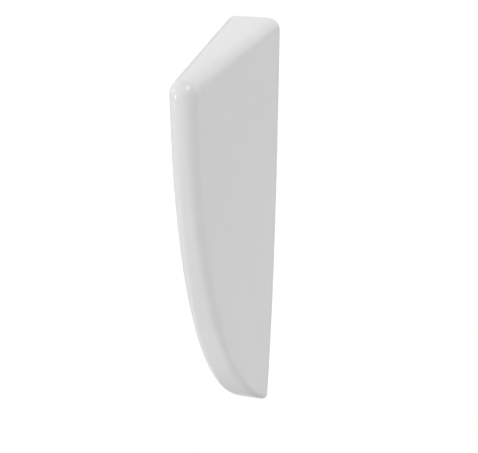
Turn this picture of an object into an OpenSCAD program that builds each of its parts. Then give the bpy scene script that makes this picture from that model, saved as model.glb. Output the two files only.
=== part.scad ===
// Wall-hung urinal privacy screen in glazed vitreous china, with its hidden wall fixings.
// X runs across the screen, -Y runs from the wall towards the room and +Z is up.
// The back of the screen lies on the plane Y = 0, which is the wall.
// The origin is midway between the two screw holes of the upper hanger, on the wall.

/* [Screen body] */
// Height of the screen
screen_h = 700; // [640:5:760]
// How far the screen stands out from the wall
screen_d = 350; // [320:5:380]
// Thickness of the screen at the wall, at the top
top_w = 85; // [80:1:96]
// Thickness of the screen at the wall, at the foot
foot_w = 62; // [58:1:70]
// How late the wall edge starts to narrow towards the foot, as an exponent
narrowing = 2.7; // [2:0.1:3.5]
// Draft of each side from the wall to the nose, in degrees
side_draft = 4.1; // [3.4:0.1:4.2]
// Rounding of the top edges and of the top front corner
top_round = 18; // [15:0.5:18]
// Rounding of the long edges down the nose
nose_round = 11.5; // [9:0.5:14]
// Rounding of the edges at the foot
foot_round = 12; // [9:0.5:14]
// How far down the nose the front curve starts to swing back, as the pull of a smooth curve
front_pull = 430; // [400:5:460]
// Pull of the same curve where it meets the wall
foot_pull = 76; // [70:1:110]
// Rise of the underside from the wall, in degrees
foot_rise = 36; // [34:1:42]
// Thickness of the fired china
china_t = 10; // [8:0.5:11]
// Height of the floor inside the foot
floor_h = 57; // [54:1:60]

/* [Hanging bars] */
// Thickness of a china hanging bar, front to back
bar_t = 16; // [12:1:18]
// Height of a china hanging bar
bar_h = 36; // [28:1:40]
// Height of the upper hanger's underside above the foot of the screen
upper_hook_z = 560; // [520:5:580]
// Height of the lower hanger's underside above the foot of the screen
lower_hook_z = 92; // [90:1:96]

/* [Steel hangers] */
// Steel thickness
steel_t = 3; // [2.5:0.5:4]
// Width of the upper hanger
upper_hanger_w = 52; // [44:1:54]
// Width of the lower hanger
lower_hanger_w = 40; // [34:1:42]
// Height of a hanger plate
hanger_h = 70; // [66:1:80]
// Height of the hook's lip from the hanger's underside
lip_h = 18; // [15:1:20]
// Clear width of the hook, between the plate and the lip
hook_gap = 30; // [28:1:32]
// Inside radius of the steel's bends
bend_r = 3; // [2:0.5:4]
// Height of the screw holes above the hanger's underside
screw_h = 54; // [50:1:56]
// Distance between the screw holes of the upper hanger
upper_screw_gap = 24; // [22:1:26]
// Distance between the screw holes of the lower hanger
lower_screw_gap = 18; // [17:1:19]
// Diameter of a screw hole
screw_hole_d = 7; // [6:0.5:7.5]

/* [Lock] */
// Nominal diameter of the lock screw
lock_d = 8; // [6:1:8]
// Pitch of the lock screw
lock_pitch = 1.25; // [1:0.25:1.25]
// Diameter of the hole that is closed by the cap
cap_hole_d = 22; // [20:1:24]
// Height of the ledge in that hole, which the bush's nut is tightened against
ledge_z = 45; // [43:1:47]
// Outside diameter of the threaded bush
bush_d = 14; // [13:0.5:15]

/* [Hidden] */
$fn = 64;
// stations along the top, round the corner and down the nose, and points round an edge
top_n = 6;
corner_n = 7;
front_n = 44;
edge_n = 6;
last = top_n + corner_n + front_n;
columns = 2 * (edge_n + 2);
// near the wall the sections turn from square across the underside to the wall's own plane
turn_d = 45;
// share of the wall line's points that lie behind the top and the corner
wall_share = 0.1;
inner_round = 7;
// heights where the rounding has eased to the nose's, and where it starts to ease to the foot's
ease_z = 200;
foot_z1 = 175;
inner_foot_pull = 66;
inner_front_pull = 420;
// the origin's height above the foot
datum_z = upper_hook_z + screw_h;
// hanging bars: their back face, and how far they stand clear of the hook
bar_y = 10;
saddle_floor = 4;
upper_bar_z = upper_hook_z + steel_t + saddle_floor;
lower_bar_z = lower_hook_z + steel_t + saddle_floor + 1;
bar_chamfer = 3;
// lock screw's axis, in the middle of the hook
lock_y = steel_t + hook_gap / 2;
slack = 0.05;
// gap between pieces that are pressed together by hand
fit_gap = 0.1;
// hanger plates
plate_round = 8;
// saddles: play round the bar, lead-in, grip and skin over the lip, and inset from the hook's ends
bar_play = 0.5;
saddle_lip = 2;
saddle_grip = 6;
saddle_skin = 1.5;
saddle_inset = 2;
// side pads
pad_h = 20;
pad_d = 9;
pad_drop = 3;
pad_grip = 5;
pad_play = 0.4;
// bush, washer and nut
bush_play = 0.3;
flat_r = 13;
flat_cut = 9;
washer_t = 1.5;
flange_z = floor_h + washer_t;
flange_r = 11;
flange_h = 3;
nut_h = 4;
nut_r = 10;
nut_notch = 3;
bush_tail = 2;
// lock screw and foot
screw_z0 = 45;
screw_z1 = lower_hook_z - 8;
thread_end = 0.64 * lock_pitch;
neck_r = 2;
ball_r = 2.8;
ball_z = lower_hook_z - 4;
key_across = 4;
key_depth = 5;
foot_r = 8;
foot_z = lower_hook_z - 5;
foot_neck_r = 5;
foot_play = 0.4;
// cap
cap_r = cap_hole_d / 2 - 0.3;
cap_wall = 2;
cap_inset = 0.5;
cap_top = 38;
ring_z = 34;
ring_r = 0.5;
ring_play = 0.1;
ring_middle = cap_r - 0.3;

module foot_up() translate([0, 0, -datum_z]) children();

// ---- outline and thickness of the china body ----

function unit(v) = v / norm(v);
function mix(a, b, k) = a + (b - a) * k;
function clip(x) = min(max(x, 0), 1);
function bezier(p, t) =
    pow(1 - t, 3) * p[0] + 3 * pow(1 - t, 2) * t * p[1] + 3 * (1 - t) * t * t * p[2] + pow(t, 3) * p[3];
function bezier_way(p, t) =
    unit(pow(1 - t, 2) * (p[1] - p[0]) + 2 * (1 - t) * t * (p[2] - p[1]) + t * t * (p[3] - p[2]));

// The front edge seen from the side, as [distance from the wall, height above the foot].
front_outer = [
    [screen_d, screen_h - top_round],
    [screen_d, screen_h - top_round - front_pull],
    [foot_pull * cos(foot_rise), foot_pull * sin(foot_rise)],
    [0, 0]
];
front_inner = [
    [screen_d - china_t, screen_h - top_round],
    [screen_d - china_t, screen_h - top_round - inner_front_pull],
    [inner_foot_pull, floor_h],
    [0, floor_h]
];

// Half the outside thickness at distance y from the wall and height z.
function half_w(y, z) =
    top_w / 2 - (top_w - foot_w) / 2 * pow(clip(1 - z / screen_h), narrowing) - tan(side_draft) * y;

// A station is [point, outward normal, how far round the corner from the top to the front].
function top_station(i, t) = [[(screen_d - top_round) * i / top_n, screen_h - t], [0, 1], 0];
function corner_station(i, t) =
    let (a = 90 - 90 * i / corner_n, n = [cos(a), sin(a)])
    [[screen_d - top_round, screen_h - top_round] + (top_round - t) * n, n, i / corner_n];
function front_station(i, p) =
    let (way = bezier_way(p, i / front_n)) [bezier(p, i / front_n), [-way[1], way[0]], 1];
function stations(t, p) = [
    for (i = [0:last])
        i < top_n ? top_station(i, t) :
        i < top_n + corner_n ? corner_station(i - top_n, t) :
        front_station(i - top_n - corner_n, p)
];

// Rounding at a station: the top's as far as round the corner, easing to the nose's below it,
// and for the outer skin to the foot's.
function skin_round(s, t) =
    let (
        z = s[0][1],
        top = top_round - t,
        nose = t == 0 ? nose_round : inner_round,
        foot = t == 0 ? foot_round : inner_round
    )
    s[2] < 1 ? top :
    mix(mix(nose, top, clip((z - ease_z) / (screen_h - top_round - ease_z))), foot, clip(1 - z / foot_z1));

// Direction from the edge's crown into the body, square to the skin but in the wall's plane at the wall.
function into(s) =
    let (k = s[2] < 1 ? 0 : clip(1 - s[0][0] / turn_d)) unit(mix(-s[1], [0, 1], k));

// One half of a section: edge_n + 1 points [x, y, z] from the side round to the crown.
function half_section(s, t) =
    let (
        m = into(s),
        r = skin_round(s, t),
        reach = r / -(s[1] * m),
        e = [max((s[0] + m * reach)[0], 0), (s[0] + m * reach)[1]],
        side = half_w(e[0], e[1]) - t,
        lean = atan((side - half_w(s[0][0], s[0][1]) + t) / reach),
        centre = side - r / cos(lean)
    ) [
        for (j = [0:edge_n])
            let (a = mix(lean, 90, j / edge_n), q = s[0] + m * reach * (1 - sin(a)))
            [centre + r * cos(a), max(q[0], 0), q[1]]
    ];

// Heights of the points down the wall line, which run ahead of the sections behind the top.
function wall_z(halves, i) =
    let (z0 = halves[0][0][2], z1 = halves[last][0][2], bend = top_n + corner_n)
    mix(z0, z1, i < bend ? wall_share * i / bend
        : mix(wall_share, 1, (z0 - halves[i][0][2]) / (z0 - z1)));

// All sections of a skin, each from the wall round the crown and back, in the model's axes.
function skin(t, p) =
    let (halves = [for (s = stations(t, p)) half_section(s, t)])
    [
        for (i = [0:last])
            let (
                z = wall_z(halves, i),
                right = concat([[half_w(0, z) - t, 0, z]], halves[i]),
                first = i == 0 || i == last ? concat([halves[i][0]], halves[i]) : right
            )
            for (c = [0:columns - 1])
                let (q = c < columns / 2 ? first[c] : first[columns - 1 - c])
                [c < columns / 2 ? q[0] : -q[0], -q[1], q[2]]
    ];

function at(i, c) = i * columns + c;
// Faces of a skin; the corner cells at the wall have three sides.
function skin_faces(from) = [
    for (i = [0:last - 1], c = [0:columns - 2])
        let (
            a = from + at(i, c),
            b = from + at(i, c + 1),
            d = from + at(i + 1, c),
            e = from + at(i + 1, c + 1),
            edge = c == 0 || c == columns - 2
        )
        each edge && i == 0 ? (c == 0 ? [[b, e, d]] : [[a, e, d]])
            : edge && i == last - 1 ? (c == 0 ? [[a, b, e]] : [[a, b, d]])
            : [[a, b, e], [a, e, d]]
];
// The loop of a skin's points that lie on the wall.
wall_loop = concat(
    [for (c = [1:columns - 2]) at(0, c)],
    [for (i = [1:last - 1]) at(i, columns - 1)],
    [for (c = [columns - 2:-1:1]) at(last, c)],
    [for (i = [last - 1:-1:1]) at(i, 0)]
);
function flip(faces) = [for (f = faces) [f[2], f[1], f[0]]];
function rim_faces(from) = [
    for (k = [0:len(wall_loop) - 1])
        let (a = wall_loop[k], b = wall_loop[(k + 1) % len(wall_loop)])
        each [[a, from + a, b], [b, from + a, from + b]]
];

module hollow_body() {
    outer = skin(0, front_outer);
    inner = skin(china_t, front_inner);
    polyhedron(
        points = concat(outer, inner),
        faces = concat(flip(skin_faces(0)), skin_faces(len(outer)), flip(rim_faces(len(outer)))),
        convexity = 6
    );
}

// ---- shapes used by several pieces ----

function arc(middle, r, from, to, n = 6) = [
    for (i = [0:n]) let (a = mix(from, to, i / n)) middle + r * [cos(a), sin(a)]
];
// A section drawn as [distance from the wall, height], run along X.
module along_x(w, section)
    rotate([90, 0, 90])
        linear_extrude(w, center = true)
            polygon([for (p = section) [-p[0], p[1]]]);
// An upright round bar at the lock's axis, from height z0 to z1.
module lock_round(r, z0, z1, r_top = undef)
    translate([0, -lock_y, z0])
        cylinder(h = z1 - z0, r1 = r, r2 = r_top == undef ? r : r_top);

// ---- china body ----

module hanging_bar(z) {
    c = bar_chamfer;
    y0 = bar_y;
    y1 = bar_y + bar_t;
    along_x(2 * half_w(y1, z) - china_t, [
        [y0 + c, z], [y1 - c, z], [y1, z + c], [y1, z + bar_h - c],
        [y1 - c, z + bar_h], [y0 + c, z + bar_h], [y0, z + bar_h - c], [y0, z + c]
    ]);
}
module screen_shell()
    color("white")
        foot_up()
            difference() {
                union() {
                    hollow_body();
                    hanging_bar(upper_bar_z);
                    hanging_bar(lower_bar_z);
                }
                // hole for the cap, hole for the bush and the flat that its washer sits on
                lock_round(cap_hole_d / 2, -1, ledge_z);
                lock_round(bush_d / 2 + bush_play, ledge_z - 1, floor_h + 1);
                lock_round(flat_r, floor_h, floor_h + flat_cut);
            }

// ---- steel hangers ----

module hanger(z, w, gap) {
    ro = bend_r + steel_t;
    lip = steel_t + hook_gap + steel_t;
    section = concat(
        [[0, hanger_h]],
        arc([ro, ro], ro, 180, 270),
        arc([lip - ro, ro], ro, 270, 360),
        [[lip, lip_h], [lip - steel_t, lip_h]],
        arc([lip - ro, ro], bend_r, 360, 270),
        arc([ro, ro], bend_r, 270, 180),
        [[steel_t, hanger_h]]
    );
    outline = concat(
        [[-w / 2, 0], [w / 2, 0]],
        arc([w / 2 - plate_round, hanger_h - plate_round], plate_round, 0, 90),
        arc([plate_round - w / 2, hanger_h - plate_round], plate_round, 90, 180)
    );
    translate([0, 0, z])
        difference() {
            intersection() {
                along_x(w, section);
                rotate([90, 0, 0])
                    linear_extrude(2 * lip, center = true)
                        polygon(outline);
            }
            for (x = [-gap / 2, gap / 2])
                translate([x, 1, screw_h])
                    rotate([90, 0, 0])
                        cylinder(h = steel_t + 2, d = screw_hole_d);
        }
}
module upper_hanger()
    color("silver")
        foot_up()
            hanger(upper_hook_z, upper_hanger_w, upper_screw_gap);
module lower_hanger()
    color("silver")
        foot_up()
            hanger(lower_hook_z, lower_hanger_w, lower_screw_gap);

// ---- soft channels that line the hooks and clip over their lips ----

module saddle(z, w) {
    y0 = steel_t + fit_gap;
    y1 = steel_t + hook_gap - fit_gap;
    z0 = steel_t + fit_gap;
    in0 = bar_y - bar_play;
    in1 = bar_y + bar_t + bar_play;
    lip = 2 * steel_t + hook_gap;
    top = lip_h + saddle_lip;
    translate([0, 0, z])
        along_x(w, [
            [y0, top], [y0, z0 + bend_r], [y0 + bend_r, z0], [y1 - bend_r, z0], [y1, z0 + bend_r],
            [y1, lip_h + fit_gap], [lip + fit_gap, lip_h + fit_gap], [lip + fit_gap, lip_h - saddle_grip],
            [lip + saddle_skin, lip_h - saddle_grip], [lip + saddle_skin, top],
            [in1 + saddle_lip, top], [in1, top - saddle_lip], [in1, steel_t + saddle_floor],
            [in0, steel_t + saddle_floor], [in0, top - saddle_lip], [in0 - saddle_lip, top]
        ]);
}
module upper_saddle()
    color("dimgray")
        foot_up()
            saddle(upper_hook_z, upper_hanger_w - 2 * saddle_inset);
module lower_saddle()
    color("dimgray")
        foot_up()
            saddle(lower_hook_z, lower_hanger_w - 2 * saddle_inset);

// ---- pads that centre the china between the plate's edges ----

module side_pads(z, w) {
    z0 = z + hanger_h - pad_h - pad_drop;
    function inside(y) = half_w(y, z0) - china_t - pad_play;
    for (side = [-1, 1])
        translate([0, 0, z0])
            linear_extrude(pad_h)
                polygon([
                    for (p = [
                        [w / 2 + fit_gap, 0], [inside(0), 0], [inside(pad_d), pad_d],
                        [w / 2 - pad_grip, pad_d], [w / 2 - pad_grip, steel_t + fit_gap],
                        [w / 2 + fit_gap, steel_t + fit_gap]
                    ])
                    [side * p[0], -p[1]]
                ]);
}
module upper_side_pads()
    color("gainsboro")
        foot_up()
            side_pads(upper_hook_z, upper_hanger_w);
module lower_side_pads()
    color("gainsboro")
        foot_up()
            side_pads(lower_hook_z, lower_hanger_w);

// ---- threaded bush in the foot, with its washer and nut ----

module lock_bush()
    color("ivory")
        foot_up()
            difference() {
                union() {
                    lock_round(bush_d / 2, ledge_z - nut_h - bush_tail, flange_z);
                    lock_round(flange_r, flange_z, flange_z + flange_h);
                }
                lock_round(lock_d / 2 + slack, 0, flange_z + flange_h + 1);
            }
module bush_washer()
    color("black")
        foot_up()
            difference() {
                lock_round(flange_r + 1, floor_h, flange_z);
                lock_round(bush_d / 2 + bush_play, floor_h - 1, flange_z + 1);
            }
module bush_nut()
    color("ivory")
        foot_up()
            difference() {
                lock_round(nut_r, ledge_z - nut_h, ledge_z);
                lock_round(bush_d / 2 + slack, ledge_z - nut_h - 1, ledge_z + 1);
                for (side = [-1, 1])
                    translate([side * nut_r, -lock_y, ledge_z - nut_h])
                        cube([2 * nut_notch, nut_notch, nut_h], center = true);
            }

// ---- lock screw with its swivel foot, which bears up on the lower hook ----

module lock_screw()
    color("lightsteelblue")
        foot_up()
            difference() {
                union() {
                    lock_round(lock_d / 2 - thread_end, screw_z0, screw_z0 + thread_end, lock_d / 2);
                    lock_round(lock_d / 2, screw_z0 + thread_end, screw_z1 - thread_end);
                    lock_round(lock_d / 2, screw_z1 - thread_end, screw_z1, lock_d / 2 - thread_end);
                    lock_round(neck_r, screw_z1 - 1, ball_z);
                    translate([0, -lock_y, ball_z])
                        sphere(ball_r);
                }
                translate([0, -lock_y, screw_z0 - 1])
                    cylinder(h = key_depth + 1, d = key_across / cos(30), $fn = 6);
            }
module lock_foot()
    color("goldenrod")
        foot_up()
            difference() {
                union() {
                    lock_round(foot_r, foot_z, lower_hook_z - fit_gap);
                    lock_round(foot_neck_r, ball_z - ball_r, foot_z);
                }
                translate([0, -lock_y, ball_z])
                    sphere(ball_r + 2 * slack);
                lock_round(neck_r + foot_play, ball_z - 2 * ball_r, ball_z);
            }

// ---- cap that closes the hole in the underside ----

// Where the underside lies at distance y from the wall, by halving.
function foot_t(y, a = 0.5, b = 1, n = 30) =
    let (t = (a + b) / 2) n == 0 ? t : bezier(front_outer, t)[0] > y ? foot_t(y, t, b, n - 1) : foot_t(y, a, t, n - 1);
function underside(y) = bezier(front_outer, foot_t(y))[1];

// Everything above the cap's sloping face, which lies flush across its hole, raised by lift.
module above_face(lift) {
    r = cap_hole_d / 2;
    rise = atan2(underside(lock_y + r) - underside(lock_y - r), 2 * r);
    middle = (underside(lock_y + r) + underside(lock_y - r)) / 2;
    translate([0, -lock_y, middle])
        rotate([-rise, 0, 0])
            translate([-2 * r, -4 * r, lift])
                cube([4 * r, 8 * r, 8 * r]);
}
module ring(r)
    translate([0, -lock_y, ring_z])
        rotate_extrude()
            translate([ring_middle, 0])
                circle(r);
module cover_cap()
    color("white")
        foot_up()
            difference() {
                intersection() {
                    lock_round(cap_r, 0, cap_top);
                    above_face(cap_inset);
                }
                intersection() {
                    lock_round(cap_r - cap_wall, 0, cap_top + 1);
                    above_face(cap_inset + cap_wall);
                }
                ring(ring_r + ring_play);
            }
module cap_ring()
    color("dimgray")
        foot_up()
            ring(ring_r);

screen_shell();
upper_hanger();
lower_hanger();
upper_saddle();
lower_saddle();
upper_side_pads();
lower_side_pads();
lock_bush();
bush_washer();
bush_nut();
lock_foot();
lock_screw();
cover_cap();
cap_ring();
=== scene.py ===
# %% [markdown]
# # A wall-hung privacy screen in glazed china
# The screen is one hollow casting of white vitreous china. Its top is flat, its front edge
# swings back in one long curve to a point at the wall, and its back is open, so that it can
# hang on two steel hangers that nobody sees. A lock screw in the foot, reached through a
# small capped hole, stops anyone from lifting it off.
#
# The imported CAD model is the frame. Everything below is in metres in the same axes: X across
# the screen, -Y out of the wall, +Z up, and the origin between the upper hanger's screws.

# %% Load the frame
import math
import bmesh
import bpy
import numpy as np
from mathutils import Matrix, Vector
from mathutils.geometry import tessellate_polygon


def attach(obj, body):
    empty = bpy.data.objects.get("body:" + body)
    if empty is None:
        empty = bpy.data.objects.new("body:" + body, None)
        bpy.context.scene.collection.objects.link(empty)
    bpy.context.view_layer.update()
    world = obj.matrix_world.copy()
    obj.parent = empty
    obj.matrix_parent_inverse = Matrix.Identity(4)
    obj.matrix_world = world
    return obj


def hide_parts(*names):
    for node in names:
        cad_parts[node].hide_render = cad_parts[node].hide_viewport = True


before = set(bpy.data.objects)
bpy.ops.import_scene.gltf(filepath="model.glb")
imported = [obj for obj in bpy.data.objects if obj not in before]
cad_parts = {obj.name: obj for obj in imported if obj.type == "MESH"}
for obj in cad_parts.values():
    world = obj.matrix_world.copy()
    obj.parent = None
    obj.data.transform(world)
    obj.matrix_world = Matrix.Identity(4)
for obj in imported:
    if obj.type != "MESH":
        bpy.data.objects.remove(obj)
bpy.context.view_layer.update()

# %% [markdown]
# ## The camera
# The photograph looks down on the screen from its left front. A camera that is placed by
# hand never quite lines up, so its angle, distance and lens were worked out by fitting the
# screen's outline, and they are written here as plain values.

# %% Place the camera
mm = 0.001
SCREEN_H, SCREEN_D = 700 * mm, 350 * mm
FOOT_Z = -614 * mm                      # the foot's height, where the origin is at the upper screws
azimuth, pitch = math.radians(15.275), math.radians(25.726)
distance, focal_px = 1.6060, 959.33
image_w, image_h, sensor_mm = 478, 453, 36.0
aimed_at = np.array([0.0, 0.0, FOOT_Z + SCREEN_H / 2])
seen_at_px = (251.57, 224.72)           # where that point falls in the picture


def new_object(name, data):
    """An object in the scene that holds this mesh, lamp or camera."""
    made = bpy.data.objects.new(name, data)
    bpy.context.scene.collection.objects.link(made)
    return made


right = np.array([math.cos(azimuth), math.sin(azimuth), 0.0])
forward = np.array([-math.sin(azimuth) * math.cos(pitch),
                    math.cos(azimuth) * math.cos(pitch), -math.sin(pitch)])
up = np.cross(right, forward)
eye = (aimed_at - distance * forward
       - (seen_at_px[0] - image_w / 2) / focal_px * distance * right
       + (seen_at_px[1] - image_h / 2) / focal_px * distance * up)

camera = new_object("camera", bpy.data.cameras.new("camera"))
camera.data.sensor_fit = "HORIZONTAL"
camera.data.sensor_width = sensor_mm
camera.data.lens = focal_px * sensor_mm / image_w
camera.matrix_world = Matrix([[*row, e] for row, e in zip(np.c_[right, up, -forward], eye)]
                             + [[0, 0, 0, 1]])
bpy.context.scene.camera = camera
print("camera at", np.round(eye, 4), "lens", round(camera.data.lens, 2), "mm")

# %% [markdown]
# ## The room and the lights
# The photograph is a studio picture on white. White china shows its shape only by soft
# differences: the flat top is the lightest face, the front edge goes from light on the left
# to a faint dark band, and the broad side is even. An evenly white room would hide all of
# that. So the room is light only behind the screen, a very broad lamp hangs high in front,
# and weaker lamps at the screen's own height model the front edge from the left and the
# right. Their strengths were found by rendering each lamp alone and seeking the mixture
# closest to the photograph. The left lamp is three discs of growing width, so that its
# mirror image in the glaze fades out instead of ending in a line. Two small lamps by the top
# front corner show only in reflections, and make the two glints that tell the eye that the
# surface is glazed. A grey card under the foot keeps the white floor from turning it pale,
# and a dark board is mirrored in the left edge and draws it against the white. The camera
# sees neither of them.

# %% Make the floor, the card and the board
def stage_sheet(name, middle, half_across, half_along):
    """A flat sheet of the stage. Its corners are its middle plus or minus two half sides."""
    middle, a, b = np.array(middle), np.array(half_across), np.array(half_along)
    corners = [middle - a - b, middle + a - b, middle + a + b, middle - a + b]
    mesh = bpy.data.meshes.new(name)
    mesh.from_pydata(corners, [], [(0, 1, 2, 3)])
    sheet = new_object(name, mesh)
    print(name, "round", np.round(middle, 3))
    return sheet


FLOOR_Z, FLOOR_HALF = FOOT_Z - 600 * mm, 12.0    # such a screen hangs about 600 mm above the floor
floor = stage_sheet("floor", (0, 0, FLOOR_Z), (FLOOR_HALF, 0, 0), (0, FLOOR_HALF, 0))

CARD_Y, CARD_Z = -70 * mm, FOOT_Z - 55 * mm
CARD_HALF_W, CARD_HALF_D = 82 * mm, 95 * mm
dark_card = stage_sheet("dark_card", (0, CARD_Y, CARD_Z), (CARD_HALF_W, 0, 0), (0, CARD_HALF_D, 0))
dark_card.visible_camera = dark_card.visible_shadow = False

# the board is turned about an upright line in front of the wall, and stands this far behind it
BOARD_TURN, BOARD_LINE_Y, BOARD_AWAY = math.radians(36), -0.3, 1.1
BOARD_HALF_W, BOARD_BOTTOM, BOARD_TOP = 0.62, FLOOR_Z + 10 * mm, 160 * mm
board_across = np.array([math.cos(BOARD_TURN), math.sin(BOARD_TURN), 0])
board_back = np.array([-math.sin(BOARD_TURN), math.cos(BOARD_TURN), 0])
dark_board = stage_sheet("dark_board",
                         BOARD_AWAY * board_back + [0, BOARD_LINE_Y, (BOARD_TOP + BOARD_BOTTOM) / 2],
                         BOARD_HALF_W * board_across, (0, 0, (BOARD_TOP - BOARD_BOTTOM) / 2))
dark_board.visible_camera = dark_board.visible_shadow = dark_board.visible_diffuse = False

# %% Light the room from behind
bpy.context.scene.view_settings.view_transform = "Standard"
BEHIND = 1.49                           # strength of the light from straight behind
world = bpy.data.worlds.new("studio")
bpy.context.scene.world = world
world.use_nodes = True
room = world.node_tree


def room_math(operation, first, second):
    """The result of one step of arithmetic on two numbers or sockets."""
    step = room.nodes.new("ShaderNodeMath")
    step.operation = operation
    for socket, value in zip(step.inputs, (first, second)):
        if isinstance(value, bpy.types.NodeSocket):
            room.links.new(value, socket)
        else:
            socket.default_value = value
    return step.outputs[0]


way_out = room.nodes.new("ShaderNodeSeparateXYZ")
room.links.new(room.nodes.new("ShaderNodeTexCoord").outputs["Generated"], way_out.inputs[0])
above = room_math("GREATER_THAN", way_out.outputs["Z"], 0.0)
behind = room_math("MULTIPLY", room_math("MAXIMUM", way_out.outputs["Y"], 0.0), above)
seen = room.nodes.new("ShaderNodeLightPath").outputs["Is Camera Ray"]
background = room.nodes["Background"]
background.inputs["Color"].default_value = (1, 1, 1, 1)
room.links.new(room_math("MAXIMUM", room_math("MULTIPLY", behind, BEHIND), seen),
               background.inputs["Strength"])
print("light from straight behind:", BEHIND)

# %% Hang the lamps
def hang_lamp(name, kind, azimuth_deg, elevation_deg, strength, away=0.0, near=(0, 0, 0)):
    """A lamp that shines from a direction, and is that far away from a point. Azimuth 0 is
    straight in front and grows to the right."""
    a, e = math.radians(azimuth_deg), math.radians(elevation_deg)
    from_way = Vector((math.sin(a) * math.cos(e), -math.cos(a) * math.cos(e), math.sin(e)))
    lamp = bpy.data.lights.new(name, kind)
    lamp.energy = strength
    holder = new_object(name, lamp)
    holder.rotation_euler = (-from_way).to_track_quat("-Z", "Y").to_euler()
    holder.location = Vector(near) + away * from_way
    print(name, "from", [round(v, 2) for v in from_way], "strength", strength)
    return holder


for name, azimuth_deg, elevation_deg, spread_deg, strength in (
        ("front_left_lamp", -60, 0, 10, 0.54),
        ("left_inner_lamp", -90, 0, 8, 0.27),       # these three discs make one soft-edged lamp
        ("left_middle_lamp", -90, 0, 22, 0.27),
        ("left_outer_lamp", -90, 0, 40, 0.27),
        ("front_lamp", -30, 10, 10, 0.24),
        ("high_front_lamp", 0, 60, 60, 2.21),
        ("high_right_lamp", 50, 60, 60, 0.45),
        ("back_right_lamp", 130, 0, 20, 0.39)):
    far_lamp = hang_lamp(name, "SUN", azimuth_deg, elevation_deg, strength)
    far_lamp.data.angle = math.radians(spread_deg)

TOP_CORNER, GLINT_AWAY = (0, -SCREEN_D, FOOT_Z + SCREEN_H), 1.5
for name, azimuth_deg, elevation_deg, width, power in (
        ("low_left_glint", -55, -14, 0.24, 10),
        ("high_right_glint", 64, 55, 0.60, 17)):
    glint = hang_lamp(name, "AREA", azimuth_deg, elevation_deg, power, GLINT_AWAY, TOP_CORNER)
    glint.data.shape, glint.data.size = "DISK", width
    glint.visible_camera = glint.visible_diffuse = False

# %% [markdown]
# ## Finishes
# Vitreous china is a dense white body under a thin coat of glassy glaze. The body scatters
# nearly all the light, and the glaze adds small hard highlights at the corners. That is a
# soft base with a weak glossy coat over it. The glaze is never quite even, so a very faint,
# slow bump lets the highlights wander, and its colour drifts by a hundredth or so.
#
# The other finishes are made by one recipe: patches a few millimetres to centimetres wide
# change the colour, and a much finer grain changes the gloss and roughens the surface. Only
# the numbers differ, because a moulded plastic, a rubber and a plated sheet differ mostly in
# the size of their grain and in how far their gloss wanders. A grain that is stretched along
# one direction gives the rolling marks of sheet steel or the rings left by a lathe.

# %% Write the recipe for a finish
def material(name):
    """A new node material, its shader, and two shorthands: one adds a node, one a link."""
    made = bpy.data.materials.new(name)
    made.use_nodes = True
    tree = made.node_tree

    def node(kind, inputs=None, **settings):
        n = tree.nodes.new("ShaderNode" + kind)
        for key, value in settings.items():
            setattr(n, key, value)
        for key, value in (inputs or {}).items():
            if isinstance(value, bpy.types.NodeSocket):
                tree.links.new(value, n.inputs[key])
            else:
                n.inputs[key].default_value = value
        return n
    return made, tree.nodes["Principled BSDF"], node, tree.links.new


def finish(name, colour, gloss, drift, patch, grain, depth, stretch=(1, 1, 1), **fixed):
    """A finish in layers. gloss is the least and the most roughness. drift is how far the
    colour wanders over patches of this size, depth how deep the grain is, all three lengths
    in millimetres. Further values are the same all over, and go straight to the shader."""
    made, shader, node, link = material(name)

    def noise(at, size, detail):
        return node("TexNoise", {"Vector": at, "Scale": 1 / (size * mm), "Detail": detail}).outputs["Fac"]
    place = node("TexCoord").outputs["Object"]
    run = node("Mapping", {"Vector": place, "Scale": stretch}).outputs["Vector"]
    patches, grains = noise(place, patch, 3.0), noise(run, grain, 2.0)
    low, high = 0.3, 0.7                # noise hardly ever leaves this range
    ramp = node("ValToRGB", {"Fac": patches})
    for end, share, at in ((0, 1 - drift, low), (1, 1 + drift, high)):
        ramp.color_ramp.elements[end].position = at
        ramp.color_ramp.elements[end].color = [min(c * share, 1) for c in colour] + [1]
    link(ramp.outputs["Color"], shader.inputs["Base Color"])
    rough = node("MapRange", {"Value": grains, "From Min": low, "From Max": high,
                              "To Min": gloss[0], "To Max": gloss[1]})
    link(rough.outputs["Result"], shader.inputs["Roughness"])
    bump = node("Bump", {"Height": grains, "Strength": 1.0, "Distance": depth * mm})
    link(bump.outputs["Normal"], shader.inputs["Normal"])
    for key, value in fixed.items():
        shader.inputs[key.replace("_", " ")].default_value = value
    print(f"{name}: roughness {gloss[0]} to {gloss[1]}, grain {grain} mm")
    return made


# %% Mix the china's three surfaces
glaze = finish("china_glaze", (0.69, 0.69, 0.69), (0.47, 0.53),
               drift=0.006, patch=60, grain=9, depth=0.012,
               Specular_IOR_Level=0.0, Coat_Weight=0.3, Coat_Roughness=0.06)
ground_rim = finish("ground_china_rim", (0.66, 0.65, 0.62), (0.75, 0.95),
                    drift=0.05, patch=4, grain=0.5, depth=0.06)
thin_glaze = finish("china_inside", (0.62, 0.61, 0.59), (0.35, 0.65),
                    drift=0.05, patch=25, grain=2.5, depth=0.05)

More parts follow.
